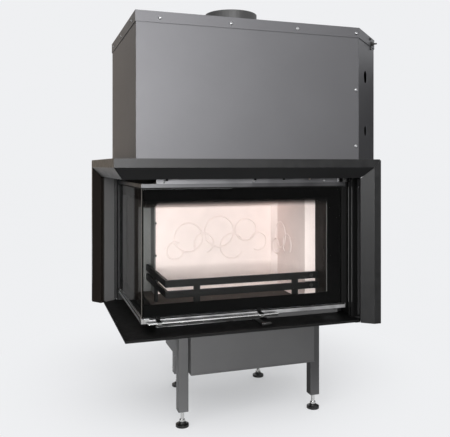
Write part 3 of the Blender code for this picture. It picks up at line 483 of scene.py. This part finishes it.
def bridge(shape, lower, upper):
    """Joins two rings of points with faces. A ring of one point is a tip."""
    steps = max(len(lower), len(upper))
    for step in range(steps):
        after = (step + 1) % steps
        if len(lower) == 1:
            shape.faces.new((lower[0], upper[after], upper[step]))
        elif len(upper) == 1:
            shape.faces.new((lower[step], lower[after], upper[0]))
        else:
            shape.faces.new((lower[step], lower[after], upper[after], upper[step]))


def lathe(shape, profile, place, way, facets=20):
    """Turns (radius, height) points round the way through place. Ends on the axis close the form."""
    matrix = Matrix.Translation(place) @ way.to_track_quat("Z", "Y").to_matrix().to_4x4()
    rings = []
    for radius, height in profile:
        if radius == 0:
            rings.append([shape.verts.new(matrix @ Vector((0, 0, height)))])
            continue
        ring = []
        for step in range(facets):
            angle = 2 * math.pi * step / facets
            spot = Vector((radius * math.cos(angle), radius * math.sin(angle), height))
            ring.append(shape.verts.new(matrix @ spot))
        rings.append(ring)
    for lower, upper in zip(rings, rings[1:]):
        bridge(shape, lower, upper)


def screw_heads(name, places, body, radius=0.0042, height=0.0026, material=None):
    """Domed screw heads with a sunk middle, each on its washer. Places are pairs of point and outward way."""
    shape = bmesh.new()
    washer = radius * 1.35
    dome = (
        (0, 0),
        (washer, 0),
        (washer, height * 0.25),
        (radius, height * 0.28),
        (radius * 0.97, height * 0.55),
        (radius * 0.80, height * 0.85),
        (radius * 0.45, height),
        (radius * 0.40, height * 0.62),
        (0, height * 0.50),
    )
    for place, way in places:
        lathe(shape, dome, place, way)
    return finish_mesh(name, shape, material or materials["zinc"], body)


def bolt_heads(name, places, body, radius=0.0065, height=0.0045, material=None):
    """Hexagon heads with a washer."""
    shape = bmesh.new()
    washer = radius * 1.45
    sheet = height * 0.25
    for place, way in places:
        lathe(shape, ((0, 0), (washer, 0), (washer, sheet), (0, sheet)), place, way)
        hexagon = ((0, sheet), (radius, sheet), (radius, height * 0.9), (radius * 0.88, height), (0, height))
        lathe(shape, hexagon, place, way, 6)
    return finish_mesh(name, shape, material or materials["zinc"], body, smooth=False)


def bevelled_box(name, low, high, material, body, rounding=0.001):
    shape = bmesh.new()
    bmesh.ops.create_cube(shape, size=1)
    for vertex in shape.verts:
        vertex.co = Vector([high[i] if vertex.co[i] > 0 else low[i] for i in range(3)])
    if rounding:
        edges = list(shape.edges)
        bmesh.ops.bevel(shape, geom=edges, offset=rounding, segments=2, profile=0.5, affect="EDGES")
    return finish_mesh(name, shape, material, body, smooth=False)


def prism(name, outline, low, high, material, body):
    """An upright form from its outline in plan, between two heights."""
    shape = bmesh.new()
    rings = [[shape.verts.new(at(along, deep, height)) for along, deep in outline] for height in (low, high)]
    shape.faces.new(list(reversed(rings[0])))
    shape.faces.new(rings[1])
    bridge(shape, *rings)
    bmesh.ops.recalc_face_normals(shape, faces=list(shape.faces))
    return finish_mesh(name, shape, material, body, smooth=False)


# ---- screws and bolts of the casing

wall_face = 0.0023
flange_middle = hood_top - 0.0205
flange_screws = [(at(along, 0, flange_middle), front) for along in (0.079, 0.320, 0.563, 0.794)]
flange_screws += [(at(0, deep, flange_middle), left) for deep in (0.076, 0.320, 0.520)]
flange_screws += [
    (at(along, hood_depth, flange_middle), back) for along in (0.010, 0.250, 0.500, 0.740, 0.960)
]
screw_heads("lid_screws", flange_screws, "frame")

panel_heights = (1.159, 0.958)
panel_screws = [(at(0.793, wall_face, height), front) for height in panel_heights]
panel_screws += [
    (at(along, hood_depth - wall_face, height), back)
    for along in (0.010, 0.487, 0.962)
    for height in panel_heights
]
screw_heads("panel_screws", panel_screws, "frame")

# The right wall's screws are flat enough to stay inside the CAD box, which ends at the lid's flange.
under_flange = 1.335
right_face = hood_width - wall_face
side_screws = [
    (at(right_face, deep, height), right)
    for deep in (0.190, 0.552)
    for height in (under_flange, *panel_heights)
]
side_screws.append((at(right_face, 0.371, under_flange), right))
screw_heads("side_screws", side_screws, "frame", height=wall_face - 0.0001)

slant = Vector((1, -1, 0)).normalized()
flat_front = hood_width - 0.169
flange_foot = 1.346


def on_slant(along, height, stand_out=0.0):
    """A point of the hood's cut corner, along it from the front edge, in plan along one side."""
    sunk = wall_face * math.sqrt(2)
    return at(flat_front + along - sunk / 2, along + sunk / 2, height) + slant * stand_out


def make_earth_bolt():
    """A dark bolt with its nut and free thread on the cut corner's flange, and two small screws by it."""
    washer = ((0, 0), (0.0105, 0), (0.0105, 0.0016), (0, 0.0016))
    nut = ((0, 0.0017), (0.0080, 0.0017), (0.0080, 0.0078), (0.0066, 0.0086), (0, 0.0086))
    thread = ((0, 0.0087), (0.0031, 0.0087), (0.0031, 0.0210), (0.0024, 0.0218), (0, 0.0218))
    small_screw = ((0, 0), (0.0058, 0), (0.0058, 0.0030), (0.0040, 0.0048), (0, 0.0050))
    shape = bmesh.new()
    place = on_slant(0.130, 1.3570, wall_face)
    for profile, facets in ((washer, 20), (nut, 6), (thread, 12)):
        lathe(shape, profile, place, slant, facets)
    for along, height in ((0.1150, 1.3730), (0.1270, 1.3390)):
        spot = on_slant(along, height, wall_face if height > flange_foot else 0)
        lathe(shape, small_screw, spot, slant, 12)
    dark_bolt = painted("dark_bolt", (0.02, 0.019, 0.018), 0.45)
    finish_mesh("earth_bolt", shape, dark_bolt, "frame", smooth=False)


make_earth_bolt()

# ---- the door's panes: the clamp strip's screws, and the print

clamp_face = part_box("door_clamp_strip")[0][1] - corner.y
clamp_screws = [(at(along, clamp_face, 0.8345), front) for along in (0.1014, 0.4127, 0.6824)]
screw_heads("clamp_screws", clamp_screws, "door", radius=0.0030, height=0.0018)

glass_low, glass_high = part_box("front_glass")
side_low, side_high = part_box("side_glass")
border_top = 0.775
border_foot = 0.437
border_right = 0.692
border_rear = 0.462
side_foot = 0.447
corner_width = 0.004
fade_foot = 0.745
fade_top = 0.776
film = 0.0003
film_gap = 0.00006
print_black = printed("printed_border")
# The fade under the front print's top border is partly print and partly painted shade, where the baffle's
# underside lies in shade
shade_fade_black = print_fade_and_shade("print_fade_and_shade", fade_top, fade_foot)


def border(name, low, high, material=print_black):
    return bevelled_box(name, low, high, material, "door", 0)


def make_front_border():
    y0 = glass_high[1] + film_gap
    y1 = y0 + film
    x0, x1 = side_high[0] + 2 * film, glass_high[0]
    z0, z1 = glass_low[2], glass_high[2]
    inner = corner.x + border_right
    border("front_border_top", (x0, y0, border_top), (x1, y1, z1))
    border("front_border_foot", (x0, y0, z0), (x1, y1, border_foot))
    border("front_border_right", (inner, y0, border_foot), (x1, y1, border_top))
    border("front_border_shade_fade", (x0, y0, fade_foot), (inner, y1, border_top), shade_fade_black)


def make_side_border():
    x0 = side_high[0] + film_gap
    x1 = x0 + film
    y0, y1 = glass_high[1] + 2 * film, side_high[1]
    z0, z1 = side_low[2], side_high[2]
    border("side_border_top", (x0, y0, border_top), (x1, y1, z1))
    border("side_border_foot", (x0, y0, z0), (x1, y1, side_foot))
    border("side_border_rear", (x0, corner.y + border_rear, side_foot), (x1, y1, border_top))
    border("side_border_corner", (x0, y0, side_foot), (x1, y0 + corner_width, border_top))


make_front_border()
make_side_border()

# ---- trim of the door

door_low, door_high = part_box("door_bottom_trim")
top_trim_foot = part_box("door_top_trim")[0][2]
trim_face = door_low[1] - corner.y
face_gap = 0.0003

# The pane's polished corner, and a bead that shows along the print's right edge
bevelled_box(
    "corner_edge",
    (door_low[0] + 0.0012, door_low[1] + 0.0012, door_high[2] + face_gap),
    (side_low[0] - face_gap, glass_low[1] - face_gap, top_trim_foot - face_gap),
    painted("polished_edge", (0.085, 0.078, 0.070), 0.40, specular=0.3),
    "door",
    0.0006,
)
bevelled_box(
    "right_bead",
    at(0.6905, 0.0322, border_foot + 0.002),
    at(0.6920, 0.0334, border_top - 0.002),
    painted("bead_grey", (0.14, 0.14, 0.14), 0.6),
    "door",
    0.0004,
)


def make_seals():
    """Thin black seals round both trims. The lower ones start where the bright corner cap ends."""
    black = painted("edge_seal", satin_black, 0.8, depth=0.0002, edge=0.0, specular=0.2)
    near, far = trim_face - 0.00027, trim_face - 0.00004
    for name, start, low, high in (("lower", 0.0490, 0.3898, 0.3940), ("upper", near, 0.8126, 0.8162)):
        for side, first, last in (
            ("front", at(start, near, low), at(0.7600, far, high)),
            ("side", at(near, start, low), at(far, 0.5260, high)),
        ):
            bevelled_box(name + "_seal_" + side, first, last, black, "door", 0)


def make_corner_cap():
    """A thin bright plate folded round the door's lower corner."""
    reach = 0.0478
    outer = trim_face - 0.0006
    inner = trim_face - 0.0001
    outline = (
        (outer, outer),
        (reach, outer),
        (reach, inner),
        (inner, inner),
        (inner, reach),
        (outer, reach),
    )
    metal = brushed("cap_metal", (0.80, 0.80, 0.79), 0.25, (300, 300, 300))
    prism("corner_cap", outline, 0.3786, 0.3936, metal, "door")


make_seals()
make_corner_cap()


def make_stile_edges():
    """Thin grey strips on the faces of both stiles: painted highlights along their upright edges."""
    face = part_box("door_right_stile")[0][1] - corner.y
    near, far = face - 0.0011, face - 0.0001
    foot, top = 0.3965, 0.8110
    grey = painted("stile_edge_highlight", (0.10, 0.10, 0.10), 0.5)
    for name, low, high in (
        ("stile_edge_0", at(0.7735, near, foot), at(0.7735 + 0.0013, far, top)),
        ("stile_edge_1", at(0.7870, near, foot), at(0.7870 + 0.0019, far, top)),
        ("stile_edge_left", at(near, 0.5222, foot), at(far, 0.5262, top)),
    ):
        bevelled_box(name, low, high, grey, "door", 0.0003)


make_stile_edges()

# A grey cover strip on the right column, with its screw
bevelled_box(
    "column_strip",
    at(0.8112, 0.0208, 0.3480),
    at(0.8206, 0.0219, 0.8400),
    painted("strip_paint", (0.050, 0.050, 0.051), 0.42),
    "frame",
    0.0003,
)
screw_heads("column_screw", [(at(0.8159, 0.0207, 0.8100), front)], "frame", radius=0.0026, height=0.0016)

# ---- the handle and the lever


def make_rod_ends():
    """Domed ends of the handle's rod."""
    low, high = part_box("handle_rod")
    radius = (high[2] - low[2]) / 2
    middle = (low[1] + high[1]) / 2
    height = (low[2] + high[2]) / 2
    dome = radius * 0.55
    gap = 0.0001
    shape = bmesh.new()
    profile = [(0, 0), (radius * 0.985, 0)]
    profile += [(radius * math.cos(turn), dome * math.sin(turn)) for turn in (0.35, 0.75, 1.15)]
    profile.append((0, dome))
    lathe(shape, profile, Vector((low[0] - gap, middle, height)), left)
    lathe(shape, profile, Vector((high[0] + gap, middle, height)), right)
    finish_mesh("rod_ends", shape, materials["handle_steel"], "door")


def make_blade():
    """A thin blade under the rod, painted dark as shade, with a rounded edge painted lighter as a highlight.
    """
    start, end = 0.0680, 0.4180
    length = end - start
    radius = 0.0010
    bevelled_box(
        "grip_blade",
        at(start, -0.0056, 0.3728),
        at(end, -0.0044, 0.3775),
        brushed("blade_painted_shade", (0.11, 0.11, 0.11), 0.35, (10, 400, 400)),
        "door",
        0.0003,
    )
    shape = bmesh.new()
    profile = (
        (0, 0),
        (radius * 0.7, 0),
        (radius, radius * 0.4),
        (radius, length - radius * 0.4),
        (radius * 0.7, length),
        (0, length),
    )
    lathe(shape, profile, at(start, -0.0050, 0.3718), right, 12)
    edge_metal = brushed("blade_edge_painted_highlight", (0.30, 0.30, 0.30), 0.30, (10, 200, 200))
    finish_mesh("blade_edge", shape, edge_metal, "door")


make_rod_ends()
make_blade()

# A bright strip on the front edge of the air slide's lever: a painted highlight
bevelled_box(
    "lever_edge",
    at(0.4336, 0.0012, 0.3506),
    at(0.4654, 0.0019, 0.3526),
    brushed("lever_highlight_metal", (0.70, 0.70, 0.70), 0.25, (20, 300, 300)),
    "air_slide",
    0.0002,
)


# ---- cover sheets that close the slots beside the surround and the columns

def make_wings():
    """Two small wings under the bottom plate. The left one is the right one with its axes swapped."""
    side_step = 0.2340
    wing_right = (
        (0.7700, -0.0340),
        (0.7880, -0.0340),
        (0.8150, 0.0085),
        (0.8320, 0.0085),
        (0.8320, 0.0560),
        (0.7700, 0.0560),
    )
    wing_left = [(deep, along - side_step) for along, deep in wing_right]
    for name, outline in (("wing_right", wing_right), ("wing_left", wing_left)):
        prism(name, outline, 0.3360, 0.3375, materials["frame_black"], "frame")


def make_covers():
    covers = {
        "slot_cover_left": ((-0.0040, 0.5974, 0.3377), (0.0222, 0.5984, 0.8420)),
        "cap_cover_right": ((0.7990, 0.0222, 0.8424), (0.8235, 0.0236, 0.8446)),
        "cap_cover_left": ((0.0222, 0.5650, 0.8424), (0.0236, 0.5895, 0.8446)),
        "jamb_cover_left": ((0.0392, 0.5279, 0.3470), (0.0552, 0.5291, 0.8430)),
    }
    for name, (low, high) in covers.items():
        bevelled_box(name, at(*low), at(*high), materials["frame_black"], "frame", 0.0002)


make_wings()
make_covers()

# ---- cable runs: straight runs of wire rope; nothing here changes their length as the door moves


def cable_run(name, node):
    """A straight run of wire rope in place of the plain node, with its foot and its head."""
    low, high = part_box(node)
    radius = (high[0] - low[0]) / 2
    length = high[2] - low[2]
    foot = Vector(((low[0] + high[0]) / 2, (low[1] + high[1]) / 2, low[2]))
    shape = bmesh.new()
    lathe(shape, ((0, 0), (radius, 0), (radius, length), (0, length)), foot, up, 16)
    piece = free_mesh(name, shape, materials["cable_steel"])
    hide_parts(node)
    return piece, foot, foot + up * length


def make_cable_runs():
    for side in ("right", "left"):
        piece, foot, head = cable_run("door_cable_" + side, "cable_door_" + side)
        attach(piece, "frame")
        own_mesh(piece)
        piece, foot, head = cable_run("weight_cable_" + side, "cable_weight_" + side)
        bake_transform(piece)


make_cable_runs()

# ---- firebox fittings

back_low, back_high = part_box("fireclay_back")
back_face = back_low[1] - corner.y
back_start = back_low[0] - corner.x
wall_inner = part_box("fireclay_right")[0][0] - corner.x
clay_foot = 0.3840
clay_top = back_high[2]


def make_post():
    """A steel angle that holds the back fireclay's left end, the face of the post beyond it, and bolts."""
    grey = painted("post_grey", (0.088, 0.087, 0.085), 0.5)
    sheet = 0.0018
    face = back_face - 0.0024
    rear = 0.4890
    start, end = back_start - 0.0026, back_start + 0.0040
    outline = (
        (start, face),
        (end, face),
        (end, face + sheet),
        (start + sheet, face + sheet),
        (start + sheet, rear),
        (start, rear),
    )
    prism("post_angle", outline, clay_foot, clay_top, grey, "frame")
    low, high = at(0.0990, 0.4882, clay_foot), at(0.1448, 0.4896, clay_top)
    bevelled_box("post_face", low, high, grey, "frame", 0.0004)
    places = [(at(back_start + 0.0030, face, height), front) for height in (0.661, 0.534)]
    black = painted("bolt_black", (0.02, 0.02, 0.02), 0.5)
    bolt_heads("post_bolts", places, "frame", 0.0034, 0.0028, black)


make_post()

guard_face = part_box("log_guard")[0][1] - corner.y
screw_heads(
    "guard_pegs",
    [(at(0.676, guard_face, height), front) for height in (0.481, 0.444)],
    "frame",
    0.0055,
    0.0040,
    painted("peg_black", (0.014, 0.013, 0.012), 0.45),
)

# A plain relief of overlapping rings and arcs, cast on the fireclay. It isn't the photograph's motif.
ridge_half_width = 0.0028
ridge_height = 0.0022
ridge_profile = ((-1, 0), (-0.6, 0.75), (0, 1), (0.6, 0.75), (1, 0))
clay_gap = 0.00005


def ridge(shape, across_way, out_way, middle, radius, start_degrees, end_degrees):
    """A rounded ridge along an arc in the plane of across_way and up."""
    sweep = end_degrees - start_degrees
    steps = max(8, int(abs(sweep) / 5))
    closed = abs(sweep) >= 360
    rings = []
    for step in range(steps if closed else steps + 1):
        turn = math.radians(start_degrees + sweep * step / steps)
        outward = across_way * math.cos(turn) + up * math.sin(turn)
        centre = middle + outward * radius
        rings.append(
            [
                shape.verts.new(centre + outward * (ridge_half_width * side) + out_way * (ridge_height * rise))
                for side, rise in ridge_profile
            ]
        )
    pairs = list(zip(rings, rings[1:]))
    if closed:
        pairs.append((rings[-1], rings[0]))
    for lower, upper in pairs:
        bridge(shape, lower, upper)
    if not closed:
        shape.faces.new(rings[0])
        shape.faces.new(list(reversed(rings[-1])))


def make_relief():
    """Each arc is its middle along or back, its height, its radius and its two ends in degrees."""
    arcs_back = (
        (0.285, 0.600, 0.058, 0, 360),
        (0.350, 0.575, 0.040, -70, 215),
        (0.415, 0.620, 0.062, 0, 360),
        (0.470, 0.560, 0.050, 20, 330),
        (0.530, 0.625, 0.045, 0, 360),
        (0.585, 0.575, 0.036, -120, 160),
        (0.230, 0.550, 0.034, 60, 345),
    )
    arcs_wall = (
        (0.330, 0.610, 0.050, 0, 360),
        (0.265, 0.580, 0.038, -60, 230),
        (0.375, 0.560, 0.030, 0, 360),
    )
    shape = bmesh.new()
    for along, height, *arc in arcs_back:
        ridge(shape, right, front, at(along, back_face - clay_gap, height), *arc)
    for deep, height, *arc in arcs_wall:
        ridge(shape, back, left, at(wall_inner - clay_gap, deep, height), *arc)
    bmesh.ops.recalc_face_normals(shape, faces=list(shape.faces))
    finish_mesh("clay_relief", shape, materials["fireclay"], "frame")


make_relief()


def make_leg_bolts():
    """A bolt on the right side of the right front leg, and one on the left side of the left rear leg."""
    leg_low, leg_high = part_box("leg_front_right")
    rear_low, rear_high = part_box("leg_rear_left")
    foot_low, foot_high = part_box("foot_screw_rear_left")
    rear_left_side = (foot_low[0] + foot_high[0]) / 2 - (leg_high[0] - leg_low[0]) / 2
    places = [
        (Vector((leg_high[0], (leg_low[1] + leg_high[1]) / 2, 0.198)), right),
        (Vector((rear_left_side, (rear_low[1] + rear_high[1]) / 2, 0.074)), left),
    ]
    bolt_heads("leg_bolts", places, "frame", 0.005, 0.004)


make_leg_bolts()


# ---- stage

def quad(name, points, material):
    mesh = bpy.data.meshes.new(name)
    mesh.from_pydata([tuple(point) for point in points], [], [(0, 1, 2, 3)])
    mesh.materials.append(material)
    return linked(name, mesh)


def make_floor():
    """A plain pale floor, which the camera sees partly as its plain colour, away from the shadow."""
    material, tree, shader = new_material("floor_paint")
    cloud = noise(tree, object_space(tree), scale=1.5)
    paint = tint(tree, cloud, scaled(pale, 0.995), scaled(pale, 1.0))
    link(tree, paint, shader.inputs["Base Color"])
    set_values(shader, {"Roughness": 0.9, "Specular IOR Level": 0.0})
    glow = add(tree, "ShaderNodeEmission")
    link(tree, paint, glow.inputs["Color"])
    spot = add(tree, "ShaderNodeNewGeometry")
    away = add(tree, "ShaderNodeVectorMath", {1: shadow_heart}, operation="DISTANCE")
    link(tree, spot.outputs["Position"], away.inputs[0])
    distance = away.outputs["Value"]
    plain = ranged(tree, distance, heart_radius, shadow_reach, heart_share, 1.0, "SMOOTHSTEP")
    share = maths(tree, "MULTIPLY", ray(tree, "Is Camera Ray"), plain)
    mix_surface(tree, share, shader.outputs["BSDF"], glow.outputs["Emission"])
    r = floor_reach
    floor = quad("floor", ((-r, -r, 0), (r, -r, 0), (r, r, 0), (-r, r, 0)), material)


def make_world():
    """Soft even light, with the pale backdrop where the camera, metal or glass looks straight at it."""
    world = bpy.data.worlds.new("studio")
    bpy.context.scene.world = world
    world.use_nodes = True
    tree = world.node_tree
    tree.nodes.clear()
    add(tree, "ShaderNodeOutputWorld")
    seen = add(tree, "ShaderNodeBackground", {"Color": (*pale, 1), "Strength": 1.0})
    lit = add(tree, "ShaderNodeBackground", {"Color": white, "Strength": sky_light})
    either = ray(tree, "Is Camera Ray")
    for kind in ("Is Glossy Ray", "Is Transmission Ray"):
        either = maths(tree, "MAXIMUM", either, ray(tree, kind))
    mix_surface(tree, either, lit.outputs["Background"], seen.outputs["Background"], "World Output")


def sun(name, turn, rise, width, share):
    """A broad sun from the left of the front by turn, this high, with a share of plain white light."""
    data = bpy.data.lights.new(name, "SUN")
    data.angle = math.radians(width)
    data.energy = share * math.pi
    turn, rise = math.radians(turn), math.radians(rise)
    way = Vector((-math.sin(turn) * math.cos(rise), -math.cos(turn) * math.cos(rise), math.sin(rise)))
    lamp = linked(name, data)
    lamp.location = lamp_distance * way
    lamp.rotation_euler = (-lamp.location).to_track_quat("-Z", "Y").to_euler()


def make_lamps():
    sun("left_light", turn=50, rise=20, width=50, share=0.41)
    sun("right_light", turn=-30, rise=40, width=60, share=0.05)
    sun("front_light", turn=6, rise=3.0, width=14, share=0.75)


def flag(name, points, material):
    """A dark cloth on a stand, out of the camera's view, that only shiny surfaces show."""
    cloth = quad(name, points, material)
    cloth.visible_camera = False
    cloth.visible_diffuse = False
    cloth.visible_shadow = False


def upright(start, end, low, high):
    """The corners of a cloth that hangs between two places in plan and two heights."""
    return at(*start, low), at(*end, low), at(*end, high), at(*start, high)


def laid(left_end, right_end, near, far):
    """The corners of a cloth that lies just over the floor."""
    lift = 0.004
    plan = ((left_end, near), (right_end, near), (right_end, far), (left_end, far))
    return [at(along, deep, lift) for along, deep in plan]


def make_flags():
    black = cloth_paint("black_cloth", (0.012, 0.012, 0.012))
    grey = cloth_paint("grey_cloth", (0.024, 0.024, 0.024))
    middle = cloth_paint("mid_cloth", (0.26, 0.26, 0.26))
    brown = cloth_paint("brown_cloth", (0.32, 0.265, 0.21))
    flag("left_flag", upright((-1.6, -1.1), (-1.6, 2.4), 0, 2.8), black)
    flag("rear_flag", upright((-1.6, 3.2), (0.5, 4.4), 0.25, 2.4), brown)
    flag("front_flag", upright((-2.5, -3.6), (5.0, -3.6), 0, 0.66), black)
    flag("front_right_flag", upright((1.5, -3.4), (3.3, -2.2), 0, 3.0), black)
    flag("right_flag", upright((2.2, -0.3), (1.7, 2.6), 0, 1.5), black)
    flag("floor_flag", laid(-2.0, 3.3, -3.6, -0.1), grey)
    flag("left_floor_flag", laid(-1.6, -0.12, -0.09, 2.7), black)
    flag("right_floor_flag", laid(1.12, 2.4, -0.3, 2.4), black)
    flag("under_flag", laid(0.30, 1.1, 0.12, 1.3), middle)


def make_camera():
    data = bpy.data.cameras.new("camera")
    data.lens = lens_mm
    data.sensor_width = film_mm
    data.shift_y = frame_shift
    data.clip_end = far_clip
    camera = linked("camera", data)
    camera.location = at(-eye_left, -eye_back, eye_height)
    camera.rotation_euler = (math.pi / 2, 0, -eye_turn)
    bpy.context.scene.camera = camera


make_floor()
make_world()
make_lamps()
make_flags()
make_camera()
bpy.context.scene.view_settings.view_transform = "Standard"
